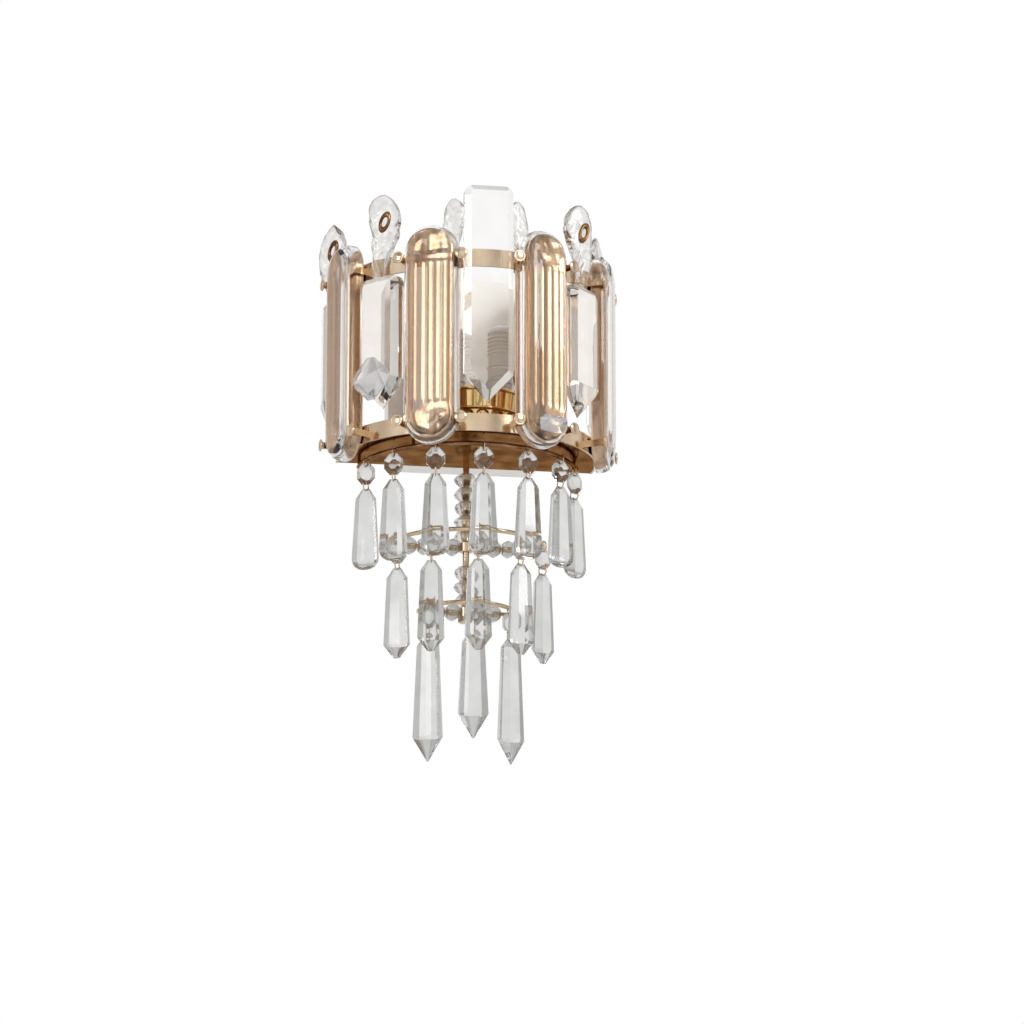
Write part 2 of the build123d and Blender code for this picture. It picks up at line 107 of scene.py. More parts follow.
soft_boxes = nodes.new("ShaderNodeValToRGB")
set_ramp(
    soft_boxes.color_ramp,
    (
        (0.00, 0.62),
        (0.05, 0.95),
        (0.10, 0.40),
        (0.16, 0.50),
        (0.20, 0.95),
        (0.27, 1.0),
        (0.30, 0.46),
        (0.33, 1.0),
        (0.40, 0.96),
        (0.43, 0.36),
        (0.48, 0.60),
        (0.54, 0.98),
        (0.59, 0.36),
        (0.63, 0.80),
        (0.67, 1.0),
        (0.80, 1.0),
        (0.85, 0.38),
        (0.91, 0.90),
        (1.00, 0.62),
    ),
)
links.new(turn.outputs["Fac"], soft_boxes.inputs["Fac"])
split = nodes.new("ShaderNodeSeparateXYZ")
links.new(heading.outputs["Generated"], split.inputs["Vector"])
height_share = nodes.new("ShaderNodeMapRange")
height_share.inputs["From Min"].default_value = -1
links.new(split.outputs["Z"], height_share.inputs["Value"])
height_ramp = nodes.new("ShaderNodeValToRGB")
set_ramp(
    height_ramp.color_ramp,
    (
        (0.00, 0.42),
        (0.24, 0.74),
        (0.36, 0.50),
        (0.46, 1.0),
        (0.72, 1.0),
        (0.80, 0.55),
        (0.88, 1.1),
        (1.00, 1.0),
    ),
)
links.new(height_share.outputs["Result"], height_ramp.inputs["Fac"])
mix_shades = nodes.new("ShaderNodeMix")
mix_shades.data_type = "RGBA"
mix_shades.blend_type = "MULTIPLY"
mix_shades.inputs["Factor"].default_value = 1
links.new(soft_boxes.outputs["Color"], mix_shades.inputs["A"])
links.new(height_ramp.outputs["Color"], mix_shades.inputs["B"])
studio_light = nodes.new("ShaderNodeBackground")
links.new(mix_shades.outputs["Result"], studio_light.inputs["Color"])
white = nodes.new("ShaderNodeBackground")
white.inputs["Color"].default_value = (1, 1, 1, 1)
ray = nodes.new("ShaderNodeLightPath")
seen = nodes.new("ShaderNodeMixShader")
links.new(ray.outputs["Is Camera Ray"], seen.inputs["Fac"])
links.new(studio_light.outputs["Background"], seen.inputs[1])
links.new(white.outputs["Background"], seen.inputs[2])
studio_output = nodes.new("ShaderNodeOutputWorld")
links.new(seen.outputs["Shader"], studio_output.inputs["Surface"])

# ---- Lamps and floor ----
# Two large soft lamps, the key from the right and a weaker fill from the left, and a plain,
# round, pale floor well below the sconce, as in a room where it hangs high on the wall.
lamp_plan = (("key", (1.5, -2.2, 1.3), 1.1, 26), ("fill", (-1.9, -1.7, 0.4), 0.9, 9))
for lamp_name, place, width, power in lamp_plan:
    lamp = bpy.data.lights.new(lamp_name, "AREA")
    lamp.size = width
    lamp.energy = power
    holder = bpy.data.objects.new(lamp_name, lamp)
    holder.location = place
    holder.rotation_mode = "QUATERNION"
    holder.rotation_quaternion = (Vector((0, -0.1, -0.05)) - holder.location).to_track_quat("-Z", "Y")
    scene.collection.objects.link(holder)

floor_height = -2.2
floor_reach = 14
floor_sides = 64


def round_steps(count):
    """The angles of a whole turn in even steps."""
    return [2 * math.pi * k / count for k in range(count)]


corners = [
    (floor_reach * math.cos(angle), floor_reach * math.sin(angle), floor_height)
    for angle in round_steps(floor_sides)
]
floor_mesh = bpy.data.meshes.new("floor")
floor_mesh.from_pydata(corners, [], [tuple(range(floor_sides))])
floor = bpy.data.objects.new("floor", floor_mesh)
scene.collection.objects.link(floor)
floor_paint = bpy.data.materials.new("pale_floor")
floor_paint.use_nodes = True
nodes, links = floor_paint.node_tree.nodes, floor_paint.node_tree.links
matt = nodes["Principled BSDF"]
matt.inputs["Base Color"].default_value = (0.90, 0.90, 0.89, 1)
matt.inputs["Roughness"].default_value = 0.9
glow = nodes.new("ShaderNodeEmission")
ray = nodes.new("ShaderNodeLightPath")
share = nodes.new("ShaderNodeMath")
share.operation = "MULTIPLY"
share.inputs[1].default_value = 0.7
links.new(ray.outputs["Is Camera Ray"], share.inputs[0])
blend = nodes.new("ShaderNodeMixShader")
links.new(share.outputs["Value"], blend.inputs["Fac"])
links.new(matt.outputs["BSDF"], blend.inputs[1])
links.new(glow.outputs["Emission"], blend.inputs[2])
links.new(blend.outputs["Shader"], nodes["Material Output"].inputs["Surface"])
floor_mesh.materials.append(floor_paint)

# ---- Gilt bands, arms, tray, hoops and stem ----
# Brass strip and round rod, bent, soldered and plated in pale champagne gold. The plating is
# polished, with a soft bloom and faint drawn lines from the strip's rolling.


def start_material(name):
    """A new material, its nodes, its links and its main shader."""
    made = bpy.data.materials.new(name)
    made.use_nodes = True
    tree = made.node_tree
    return made, tree.nodes, tree.links, tree.nodes["Principled BSDF"]


def add_noise(nodes, links, scale, stretch=(1, 1, 1), detail=3.0):
    """A noise texture on the object's own coordinates, drawn out by the stretch."""
    place = nodes.new("ShaderNodeTexCoord")
    mapping = nodes.new("ShaderNodeMapping")
    mapping.inputs["Scale"].default_value = stretch
    pattern = nodes.new("ShaderNodeTexNoise")
    pattern.inputs["Scale"].default_value = scale
    pattern.inputs["Detail"].default_value = detail
    links.new(place.outputs["Object"], mapping.inputs["Vector"])
    links.new(mapping.outputs["Vector"], pattern.inputs["Vector"])
    return pattern


def add_bump(nodes, links, height, shader, distance, strength=1.0):
    """Relief from a height output, distance in metres."""
    bump = nodes.new("ShaderNodeBump")
    bump.inputs["Distance"].default_value = distance
    bump.inputs["Strength"].default_value = strength
    links.new(height, bump.inputs["Height"])
    links.new(bump.outputs["Normal"], shader.inputs["Normal"])


def add_range(nodes, links, source, low, high):
    """Spreads a 0 to 1 output between two values."""
    spread = nodes.new("ShaderNodeMapRange")
    spread.inputs["To Min"].default_value = low
    spread.inputs["To Max"].default_value = high
    links.new(source, spread.inputs["Value"])
    return spread.outputs["Result"]


def add_tones(nodes, links, source, shader, stops):
    """Colours a shader by a 0 to 1 output."""
    ramp = nodes.new("ShaderNodeValToRGB")
    set_ramp(ramp.color_ramp, stops)
    links.new(source, ramp.inputs["Fac"])
    links.new(ramp.outputs["Color"], shader.inputs["Base Color"])


def make_plating(name, dull, bright, low_roughness, high_roughness, edge_tint=(1, 1, 1)):
    """A plated metal: two tones, its tint seen edge-on, cloudy gloss and fine drawn lines."""
    made, nodes, links, shader = start_material(name)
    shader.inputs["Metallic"].default_value = 1
    shader.inputs["Specular Tint"].default_value = (*edge_tint, 1)
    clouds = add_noise(nodes, links, 55)
    add_tones(nodes, links, clouds.outputs["Fac"], shader, ((0.35, dull), (0.65, bright)))
    gloss = add_range(nodes, links, clouds.outputs["Fac"], low_roughness, high_roughness)
    links.new(gloss, shader.inputs["Roughness"])
    drawn = add_noise(nodes, links, 420, (0.05, 0.05, 1))
    add_bump(nodes, links, drawn.outputs["Fac"], shader, 0.02 * mm)
    return made


def paint_node(node, finish):
    """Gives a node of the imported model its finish."""
    frame["nodes"][node].data.materials.clear()
    frame["nodes"][node].data.materials.append(finish)


champagne = make_plating("champagne_gilt", (0.66, 0.50, 0.34), (0.76, 0.60, 0.42), 0.10, 0.20)
for node in ("upper_band", "lower_band", "frame_arms", "centre_stem", "middle_hoop", "lower_hoop"):
    paint_node(node, champagne)

# The tray is plated in rose gilt, darkened as painted shade: its dark tones stand in for the shadow
# under the tray, which the camera sees from below.
rose_gilt_with_painted_shade = make_plating(
    "rose_gilt_with_painted_shade", (0.17, 0.08, 0.045), (0.44, 0.25, 0.13), 0.07, 0.15, edge_tint=(0.62, 0.47, 0.37)
)
paint_node("base_tray", rose_gilt_with_painted_shade)

# ---- Wall canopy, mounting bar, studs and terminal block ----
# A pressed canopy in satin pale champagne hides the zinc-plated bar screwed to the wall. Two
# studs and dome nuts hold it, and a white moulded block inside joins the wires.
pale_champagne = make_plating("pale_champagne", (0.94, 0.91, 0.87), (0.97, 0.955, 0.93), 0.40, 0.55)
zinc = make_plating("zinc_plate", (0.48, 0.49, 0.51), (0.66, 0.67, 0.69), 0.30, 0.45)

white_moulding, nodes, links, shader = start_material("white_moulding")
grain = add_noise(nodes, links, 900)
moulding_tones = ((0.3, (0.80, 0.80, 0.77)), (0.7, (0.86, 0.86, 0.84)))
add_tones(nodes, links, grain.outputs["Fac"], shader, moulding_tones)
links.new(add_range(nodes, links, grain.outputs["Fac"], 0.38, 0.5), shader.inputs["Roughness"])
add_bump(nodes, links, grain.outputs["Fac"], shader, 0.03 * mm)

fixings = {
    "wall_canopy": pale_champagne,
    "canopy_studs": champagne,
    "mounting_bar": zinc,
    "terminal_block": white_moulding,
}
for node, finish in fixings.items():
    paint_node(node, finish)

# ---- Lamp cup ----
# A wide spun cup of yellow brass, lacquered, that holds both lampholders on the tray. Its wall
# is pressed into upright panels with round arches, between a rolled rim, a waist and a foot.
band_low, band_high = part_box("upper_band")
band_radius = band_high.x
arc_middle = Vector((0, band_low.y + band_radius, 0))
cup_low, cup_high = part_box("lamp_cup")
lamp_y = (cup_low.y + cup_high.y) / 2
cup_rim = cup_high.x
cup_rise = cup_high.z - cup_low.z
cup_foot = 39.5 * mm
cup_wall = 1.6 * mm
cup_floor = 3 * mm
cup_panels = 18
panel_press = 1.3 * mm
arch_edge = 0.86
arch_ramp = 0.16
arch_rise = 6 * mm
arch_foot = 6.6 * mm
arch_foot_ramp = 1.6 * mm
flute_press = 0.55 * mm
rim_set_in = 1.6 * mm
waist = 0.58 * cup_rise
arch_spring = waist - 6.5 * mm
cup_turns = 360


def revolve(profile, turns, wave=None):
    """Turns a profile of (radius, height) points round Z. The wave shifts a radius by its place."""
    vertices, faces = [], []
    rows = len(profile)
    for angle in round_steps(turns):
        for radius, height in profile:
            reach = radius + (wave(radius, height, angle) if wave else 0)
            vertices.append((reach * math.cos(angle), reach * math.sin(angle), height))
    for turn in range(turns):
        this, other = turn * rows, (turn + 1) % turns * rows
        for row in range(rows - 1):
            faces.append((this + row, other + row, other + row + 1, this + row + 1))
    return vertices, faces


def make_piece(name, vertices, faces, finish, smooth_angle=None, place=None):
    """A mesh object: doubled points merged, faces turned outwards, its place put in its mesh."""
    mesh = bpy.data.meshes.new(name)
    mesh.from_pydata([Vector(v) for v in vertices], [], faces)
    work = bmesh.new()
    work.from_mesh(mesh)
    bmesh.ops.remove_doubles(work, verts=work.verts, dist=0.004 * mm)
    bmesh.ops.recalc_face_normals(work, faces=work.faces)
    work.to_mesh(mesh)
    work.free()
    if place:
        mesh.transform(place)
    if smooth_angle is not None:
        mesh.shade_smooth()
        mesh.set_sharp_from_angle(angle=math.radians(smooth_angle))
    mesh.materials.append(finish)
    piece = bpy.data.objects.new(name, mesh)
    scene.collection.objects.link(piece)
    return piece


def keep_piece(piece, body, slot, *nodes):
    """Hands a finished piece to the frame: its body and the nodes it stands for. The slot is not used.
    """
    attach(piece, body)
    if nodes:
        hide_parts(*nodes)


def swell(start, end, bulge, steps):
    """Points of a rounded bead between two profile points, standing out by the bulge."""
    (r0, z0), (r1, z1) = start, end
    points = []
    for step in range(steps + 1):
        share = step / steps
        rise = bulge * math.sin(math.pi * share)
        points.append((r0 + (r1 - r0) * share + rise, z0 + (z1 - z0) * share))
    return points


def cup_radius(height):
    """The cup's flare from foot to rim."""
    share = height / cup_rise
    return cup_foot + (cup_rim - rim_set_in - cup_foot) * (0.35 * share + 0.65 * share**3)


def within_one(value):
    """Holds a share between none and the whole."""
    return max(0, min(1, value))


def press_panels(radius, height, angle):
    """Pressed panels with round heads below the waist, and fine flutes above it."""
    if abs(radius - cup_radius(height)) > 0.05 * mm:
        return 0
    across = (cup_panels * angle / (2 * math.pi)) % 1 * 2 - 1
    if height < waist:
        over = max(0, height - arch_spring) / arch_rise
        inside_arch = within_one((arch_edge - math.hypot(across, over)) / arch_ramp)
        above_foot = within_one((height - arch_foot) / arch_foot_ramp)
        return -panel_press * inside_arch * above_foot
    return -flute_press * abs(math.sin(cup_panels * angle))


def cup_bead(low, high, bulge, steps):
    """A rolled bead on the cup's wall between two heights."""
    return swell((cup_radius(low), low), (cup_radius(high), high), bulge, steps)


lower_rows = [6.4 * mm + (waist - 8.2 * mm) * k / 26 for k in range(27)]
upper_rows = [waist + 2.2 * mm + (cup_rise - waist - 6.2 * mm) * k / 10 for k in range(11)]
outside = [(0, 0)]
outside += swell((cup_foot, 0), (cup_foot, 3.4 * mm), 1.5 * mm, 8)
outside += swell((cup_foot, 3.6 * mm), (cup_radius(6 * mm), 6 * mm), 0.8 * mm, 6)
outside += [(cup_radius(height), height) for height in lower_rows]
outside += cup_bead(waist - 1.6 * mm, waist + 2 * mm, 2.1 * mm, 10)
outside += [(cup_radius(height), height) for height in upper_rows]
rim_foot = cup_rise - 3.6 * mm
rim_top = (cup_radius(rim_foot + 0.8 * mm), cup_rise)
outside += swell((cup_radius(rim_foot), rim_foot), rim_top, 1.4 * mm, 10)
inside = [
    (cup_radius(height) - cup_wall - 0.6 * mm, height)
    for height in [cup_rise - (cup_rise - cup_floor) * k / 14 for k in range(15)]
]
yellow_brass = make_plating("lacquered_brass", (0.74, 0.50, 0.20), (0.88, 0.66, 0.34), 0.06, 0.14)
vertices, faces = revolve([*outside, *inside, (0, cup_floor)], cup_turns, press_panels)
place = Matrix.Translation((0, lamp_y, cup_low.z))
cup = make_piece("brass_cup", vertices, faces, yellow_brass, 32, place)
keep_piece(cup, "frame", "gilt", "lamp_cup")

# ---- Lampholders ----
# Two glazed ceramic sleeves stand on the cup's floor, each with a stepped foot, a collar near
# its mouth and a bore for the lamp. Their glaze pools a little darker in the hollows.
holder_low, holder_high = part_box("lamp_holders")
holder_radius = (holder_high.y - holder_low.y) / 2
holder_rise = holder_high.z - holder_low.z
lamp_x = holder_high.x - holder_radius
bore = 8 * mm
bore_depth = 30 * mm

glaze, nodes, links, shader = start_material("white_glaze")
pooling = add_noise(nodes, links, 90)
glaze_tones = ((0.3, (0.80, 0.77, 0.73)), (0.7, (0.90, 0.88, 0.85)))
add_tones(nodes, links, pooling.outputs["Fac"], shader, glaze_tones)
links.new(add_range(nodes, links, pooling.outputs["Fac"], 0.12, 0.22), shader.inputs["Roughness"])
shader.inputs["Coat Weight"].default_value = 0.5
shader.inputs["Coat Roughness"].default_value = 0.06
add_bump(nodes, links, pooling.outputs["Fac"], shader, 0.05 * mm)

shank = holder_radius - 1.2 * mm
collar_low, collar_high = holder_rise - 15 * mm, holder_rise - 11.5 * mm
sleeve = [(0, 0), (holder_radius - 0.8 * mm, 0), (holder_radius, 0.8 * mm)]
sleeve += [(holder_radius, 5 * mm), (holder_radius - 0.6 * mm, 6 * mm)]
sleeve += [(shank, 7 * mm), (shank, collar_low - 1 * mm)]
sleeve += swell((shank, collar_low), (shank, collar_high), 1.1 * mm, 8)
sleeve += [(shank, collar_high + 1.5 * mm), (shank, holder_rise - 4 * mm)]
sleeve += swell((shank, holder_rise - 3.6 * mm), (shank - 0.8 * mm, holder_rise), 1.1 * mm, 8)
sleeve += [(bore + 0.8 * mm, holder_rise), (bore, holder_rise - 0.8 * mm)]
sleeve += [(bore, holder_rise - bore_depth), (0, holder_rise - bore_depth)]
for number, side in enumerate((-1, 1), 1):
    vertices, faces = revolve(sleeve, 72)
    place = Matrix.Translation((side * lamp_x, lamp_y, holder_low.z))
    piece = make_piece(f"ceramic_sleeve_{number}", vertices, faces, glaze, 35, place)
    keep_piece(piece, "frame", "ivory_ceramic", "lamp_holders")

# ---- Lamps ----
# Two small lamps: a nickel screw cap in the holder, a warm grey neck moulded with five ribs for
# cooling, and a shallow dome of opal plastic snapped on top.
lamps_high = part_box("bulbs")[1]
neck_low = holder_high.z + 0.3 * mm
neck_radius = lamps_high.x - lamp_x
neck_rise = 31 * mm
neck_plain = 12 * mm
rib_pitch = 3.6 * mm
rib_width = 1.8 * mm
rib_depth = 1 * mm
neck_core = neck_radius - rib_depth
dome_rise = lamps_high.z - neck_low - neck_rise
cap_radius = 7 * mm
cap_length = 26 * mm

nickel = make_plating("nickel_cap", (0.55, 0.54, 0.52), (0.70, 0.69, 0.66), 0.16, 0.28)
neck_moulding, nodes, links, shader = start_material("neck_moulding")
grain = add_noise(nodes, links, 700)
# The neck's tones are lightened past its warm grey as painted light, offsetting the shade it sits in
# inside the drum.
neck_tones = ((0.3, (0.92, 0.81, 0.69)), (0.7, (0.96, 0.87, 0.77)))
add_tones(nodes, links, grain.outputs["Fac"], shader, neck_tones)
links.new(add_range(nodes, links, grain.outputs["Fac"], 0.30, 0.42), shader.inputs["Roughness"])
add_bump(nodes, links, grain.outputs["Fac"], shader, 0.03 * mm)
opal, nodes, links, shader = start_material("opal_dome")
haze = add_noise(nodes, links, 60)
opal_tones = ((0.3, (0.94, 0.89, 0.82)), (0.7, (0.97, 0.94, 0.90)))
add_tones(nodes, links, haze.outputs["Fac"], shader, opal_tones)
links.new(add_range(nodes, links, haze.outputs["Fac"], 0.12, 0.2), shader.inputs["Roughness"])
shader.inputs["Subsurface Weight"].default_value = 0.25
shader.inputs["Subsurface Scale"].default_value = 3 * mm
add_bump(nodes, links, haze.outputs["Fac"], shader, 0.03 * mm)

thread_root = cap_radius - 1.1 * mm
thread = [(0, -cap_length), (cap_radius - 2.4 * mm, -cap_length + 0.4 * mm)]
thread += [(cap_radius - 1.2 * mm, -cap_length + 4 * mm)]
for turn in range(6):
    foot = -cap_length + (6 + 3 * turn) * mm
    thread += swell((thread_root, foot), (thread_root, foot + 2.9 * mm), 1.0 * mm, 6)
thread += [(cap_radius - 0.4 * mm, -1.6 * mm), (cap_radius - 0.4 * mm, 0), (0, 0)]
neck = [(0, 0), (neck_core - 0.6 * mm, 0), (neck_core, 0.6 * mm), (neck_core, neck_plain - 0.3 * mm)]
for rib in range(5):
    foot = neck_plain + rib * rib_pitch
    neck += swell((neck_core, foot), (neck_core, foot + rib_width), rib_depth, 8)
neck += [(neck_core, neck_rise - 0.6 * mm), (neck_core - 0.6 * mm, neck_rise), (0, neck_rise)]


def quarter_steps(count):
    """The angles of a quarter turn in even steps, with both its ends."""
    return [math.pi / 2 * k / count for k in range(count + 1)]


dome_radius = neck_radius - 0.15 * mm
dome_foot = neck_rise + 0.4 * mm
dome = [(0, neck_rise), (neck_core, neck_rise), (dome_radius, dome_foot)]
for turn in quarter_steps(16)[1:]:
    dome.append((dome_radius * math.cos(turn), dome_foot + (dome_rise - 0.5 * mm) * math.sin(turn)))
lamp_parts = (
    ("screw_cap", thread, nickel, 50),
    ("ribbed_neck", neck, neck_moulding, 35),
    ("opal_dome", dome, opal, 50),
)
for number, side in enumerate((-1, 1), 1):
    for part, profile, finish, smooth_angle in lamp_parts:
        vertices, faces = revolve(profile, 64)
        place = Matrix.Translation((side * lamp_x, lamp_y, neck_low))
        piece = make_piece(f"{part}_{number}", vertices, faces, finish, smooth_angle, place)
        keep_piece(piece, "frame", "bulb_glass", "bulbs")

# ---- Feed wires ----
# Two sleeved wires leave the terminal block, pass through the canopy and the back of the cup,
# and end in the holders. Braided glass sleeving, cream, held at both ends with a little slack.
block_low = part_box("terminal_block")[0]
wire_low, wire_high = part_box("feed_wires")
wire_radius = 1.5 * mm
wire_y = wire_high.y - 1.6 * mm
wire_z = wire_low.z + 1.6 * mm

sleeving, nodes, links, shader = start_material("braided_sleeving")
braid = add_noise(nodes, links, 1400)
braid_tones = ((0.35, (0.62, 0.56, 0.46)), (0.65, (0.80, 0.74, 0.63)))
add_tones(nodes, links, braid.outputs["Fac"], shader, braid_tones)
links.new(add_range(nodes, links, braid.outputs["Fac"], 0.55, 0.75), shader.inputs["Roughness"])
add_bump(nodes, links, braid.outputs["Fac"], shader, 0.12 * mm)

for number, side in enumerate((-1, 1), 1):
    x = side * lamp_x
    route = (
        (x, wire_y, block_low.z),
        (x, wire_y, block_low.z - 8 * mm),
        (x, wire_y, wire_z + 2 * mm),
        (x, wire_y - 6 * mm, wire_z),
        (x, wire_y - 22 * mm, wire_z),
        (x, wire_low.y + 10 * mm, wire_z),
        (x, wire_low.y, wire_z),
    )
    curve = bpy.data.curves.new(f"sleeved_wire_{number}", "CURVE")
    curve.dimensions = "3D"
    spline = curve.splines.new("NURBS")
    spline.points.add(len(route) - 1)
    for point, place in zip(spline.points, route):
        point.co = (*place, 1)
    spline.order_u = 3
    spline.use_endpoint_u = True
    curve.resolution_u = 8
    curve.bevel_depth = wire_radius
    curve.bevel_resolution = 6
    curve.use_fill_caps = True
    line = bpy.data.objects.new(f"wire_line_{number}", curve)
    scene.collection.objects.link(line)
    mesh = bpy.data.meshes.new_from_object(line)
    bpy.data.objects.remove(line)
    mesh.shade_smooth()
    mesh.materials.clear()
    mesh.materials.append(sleeving)
    wire = bpy.data.objects.new(f"sleeved_wire_{number}", mesh)
    scene.collection.objects.link(wire)
    keep_piece(wire, "frame", "wire_sheath", "feed_wires")

# ---- Glass covers ----
# Four cast covers of clear crystal with round ends, pillow-shaped in front and hollow behind.
# The fronts are fire-polished, and the glass is wavy near the two round ends.
cover_low, cover_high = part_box("glass_cover_2")
panel_seat = band_radius + 0.3 * mm
panel_pitch = 23.5
tinted_steps = (-3, -1, 1, 3)
cover_rise = cover_high.z - cover_low.z
cover_width = 50 * mm
cover_depth = 18 * mm
cover_wall = 3 * mm
cavity = 14 * mm
pillow_inset = 15 * mm
pillow_depth = 12 * mm
pillow_crown = 0.7 * mm
wave_start = 60 * mm
wave_ramp = 20 * mm
wave_rise = 0.9 * mm


def seat(angle, radius, height):
    """The place of a piece on the drum: X along the band, -Y outwards and Z up."""
    turned = Matrix.Rotation(math.radians(angle), 4, "Z")
    return Matrix.Translation(arc_middle) @ turned @ Matrix.Translation((0, -radius, height))


def round_ended(inset, arc_steps=28, side_steps=40):
    """Outline of a panel with round ends, drawn in by the inset."""
    reach = cover_width / 2 - inset
    straight = (cover_rise - cover_width) / 2
    points = []
    for turn in [math.pi * step / arc_steps for step in range(arc_steps + 1)]:
        points.append((reach * math.cos(turn), straight + reach * math.sin(turn)))
    for step in range(1, side_steps):
        points.append((-reach, straight - 2 * straight * step / side_steps))
    for turn in [math.pi * (1 + step / arc_steps) for step in range(arc_steps + 1)]:
        points.append((reach * math.cos(turn), -straight + reach * math.sin(turn)))
    for step in range(1, side_steps):
        points.append((reach, -straight + 2 * straight * step / side_steps))
    return points


def skin(rings, first=None, last=None):
    """Joins rings of points one to the next. The end faces are lists of places in a ring."""
    size = len(rings[0])
    vertices = [point for ring in rings for point in ring]
    faces = []
    for start in range(0, size * (len(rings) - 1), size):
        for k in range(size):
            a, b = start + k, start + (k + 1) % size
            faces.append((a, b, b + size, a + size))
    faces += [tuple(face) for face in first or ()]
    offset = size * (len(rings) - 1)
    faces += [tuple(offset + k for k in face) for face in last or ()]
    return vertices, faces


def waves(x, z, size, seed):
    """Smooth unevenness between -1 and 1 at a place on a panel."""
    return noise.noise(Vector((x / size, z / size, seed)))


def make_crystal(name, deep, pale, gloss, wave, index=1.52, clearness=1.0, scale=60):
    """Crystal: two close tints, its range of gloss, and the height of the waves in its skin."""
    made, nodes, links, shader = start_material(name)
    ripple = add_noise(nodes, links, scale, detail=1.0)
    add_tones(nodes, links, ripple.outputs["Fac"], shader, ((0.3, deep), (0.7, pale)))
    links.new(add_range(nodes, links, ripple.outputs["Fac"], *gloss), shader.inputs["Roughness"])
    shader.inputs["Transmission Weight"].default_value = clearness
    shader.inputs["IOR"].default_value = index
    add_bump(nodes, links, ripple.outputs["Fac"], shader, wave, 0.4)
    return made


cast_crystal = make_crystal(
    "cast_crystal", (0.93, 0.93, 0.92), (0.97, 0.97, 0.965), (0.0, 0.02), 0.06 * mm
)

for number, step in enumerate(tinted_steps, 1):
    profile = [(cover_width / 2, cavity), (cover_wall + 1.5 * mm, cavity)]
    profile += [(cover_wall, cavity - 1.5 * mm), (cover_wall, 0.5 * mm)]
    profile += [(cover_wall - 0.5 * mm, 0), (0.5 * mm, 0), (0, 0.5 * mm)]
    for turn in quarter_steps(14):
        inset = pillow_inset * (1 - math.cos(turn))
        profile.append((inset, cover_depth - pillow_depth * (1 - math.sin(turn)) - pillow_crown))
    for k in range(1, 9):
        share = k / 8
        inset = pillow_inset + (cover_width / 2 - pillow_inset) * share
        profile.append((inset, cover_depth - pillow_crown * (1 - share) ** 2))
    rings = []
    for inset, depth in profile:
        ring = []
        for x, z in round_ended(inset):
            pull = 0
            if depth > cavity + 0.1 * mm:
                near_end = within_one((abs(z) - wave_start) / wave_ramp)
                pull = wave_rise * near_end * (waves(x, z, 9 * mm, 3.1 * number) - 0.6)
            ring.append((x, -(depth + pull), z))
        rings.append(ring)
    vertices, faces = skin(rings)
    place = seat(step * panel_pitch, panel_seat, 0)
    cover = make_piece(f"crystal_cover_{number}", vertices, faces, cast_crystal, 40, place)
    keep_piece(cover, "frame", "clear_crystal", f"glass_cover_{number}")

# ---- Amber cores ----
# Behind each cover lies a pressed core, fluted down its middle and mirrored in amber, with a
# crease at the band and a domed, dimpled head and foot.
core_inset = cover_wall + 0.3 * mm
core_depth = 13.7 * mm
core_rounding = 4 * mm
flute_pitch = 7.4 * mm
flute_depth = 0.45 * mm
flute_count = 5
flute_end = 66 * mm
flute_fade = 4 * mm
crease_height = 67 * mm
crease_depth = 1.6 * mm
dimple_depth = 1.5 * mm
flat_rings = 52

amber, nodes, links, shader = start_material("amber_mirror")
shader.inputs["Metallic"].default_value = 1
shader.inputs["Specular Tint"].default_value = (0.80, 0.58, 0.38, 1)
# The vertical streaks in the amber's colour are in part painted reflection: their darker stripes stand
# in for the stripes that the fluted mirror reflects.
streaks_and_painted_stripes = add_noise(nodes, links, 150, (1, 1, 0.02))
amber_tones = ((0.34, (0.41, 0.24, 0.13)), (0.5, (0.64, 0.42, 0.25)), (0.66, (0.75, 0.535, 0.345)))
add_tones(nodes, links, streaks_and_painted_stripes.outputs["Fac"], shader, amber_tones)
links.new(add_range(nodes, links, streaks_and_painted_stripes.outputs["Fac"], 0.14, 0.26), shader.inputs["Roughness"])
add_bump(nodes, links, streaks_and_painted_stripes.outputs["Fac"], shader, 0.05 * mm)


def core_front(x, z, number):
    """How far the core's front lies behind its plain surface: flutes, crease and dimples."""
    deep = 0
    if abs(z) < flute_end and abs(x) < flute_count * flute_pitch / 2:
        across = (x / flute_pitch + 0.5) % 1
        fade = within_one((flute_end - abs(z)) / flute_fade)
        deep += flute_depth * (1 - (2 * across - 1) ** 2) * fade
    deep += crease_depth * max(0, 1 - abs(z - crease_height) / crease_depth)
    near_end = within_one((abs(z) - flute_end - 1 * mm) / (8 * mm))
    deep += dimple_depth * near_end * (0.7 - waves(x, z, 11 * mm, 7.7 * number))
    return deep


for number, step in enumerate(tinted_steps, 1):
    profile = [(cover_width / 2, 0), (core_inset, 0)]
    for turn in quarter_steps(8):
        inset = core_inset + core_rounding * (1 - math.cos(turn))
        profile.append((inset, core_depth - core_rounding * (1 - math.sin(turn))))
    flat_start = core_inset + core_rounding
    flat_width = cover_width / 2 - flat_start
    for k in range(1, flat_rings + 1):
        profile.append((flat_start + flat_width * k / flat_rings, core_depth))
    rings = []
    for row, (inset, depth) in enumerate(profile):
        share = within_one((inset - core_inset) / core_rounding) if row > 1 else 0
        ring = []
        for x, z in round_ended(inset, 36, 84):
            ring.append((x, -(depth - share * core_front(x, z, number)), z))
        rings.append(ring)
    vertices, faces = skin(rings)
    place = seat(step * panel_pitch, panel_seat, 0)
    core = make_piece(f"amber_core_{number}", vertices, faces, amber, 50, place)
    keep_piece(core, "frame", "tinted_glass", f"tinted_core_{number}")

